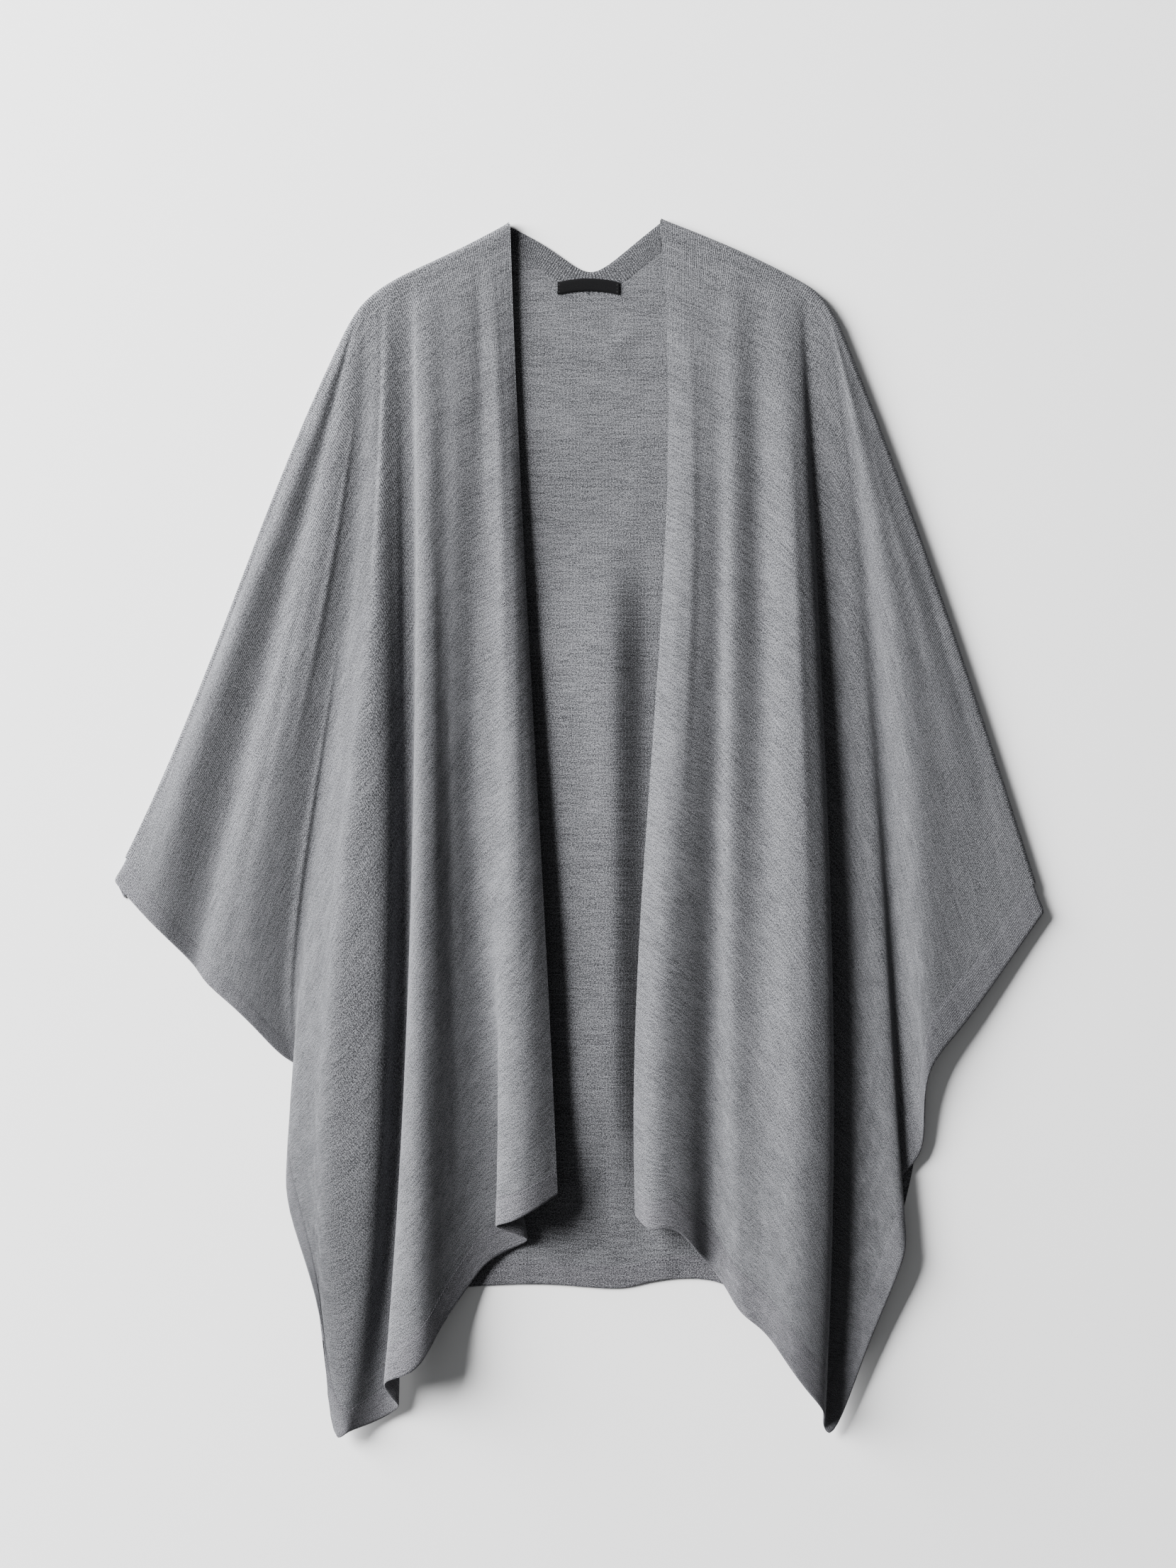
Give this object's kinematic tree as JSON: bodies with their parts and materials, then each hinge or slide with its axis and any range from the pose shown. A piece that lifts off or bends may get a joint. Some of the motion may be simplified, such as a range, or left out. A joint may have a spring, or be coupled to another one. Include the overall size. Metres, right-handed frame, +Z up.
{
  "type": "serape",
  "caption": "Open-front knitted serape laid flat, one wide rectangle folded over the shoulders, with draped fronts, hem bands and a ribbed back neck.",
  "frame": {"origin": "middle of the laid-out garment's box, on the surface it lies on", "axes": "+Z up out of the surface, +Y from the hem to the neck, +X to the right as seen from above"},
  "size_m": [0.7746, 1.01, 0.0345],
  "materials": {
    "heather_knit": "fine heathered grey knit",
    "edge_knit": "doubled grey knit",
    "neck_rib": "grey ribbed knit",
    "label_satin": "plain black woven satin"
  },
  "bodies": {
    "root": {"back_panel": "heather_knit", "left_front_panel": "heather_knit", "right_front_panel": "heather_knit", "back_hem": "edge_knit", "left_front_hem": "edge_knit", "right_front_hem": "edge_knit", "left_side_band": "edge_knit", "right_side_band": "edge_knit", "neck_band": "neck_rib", "neck_label": "label_satin"}
  },
  "joints": []
}
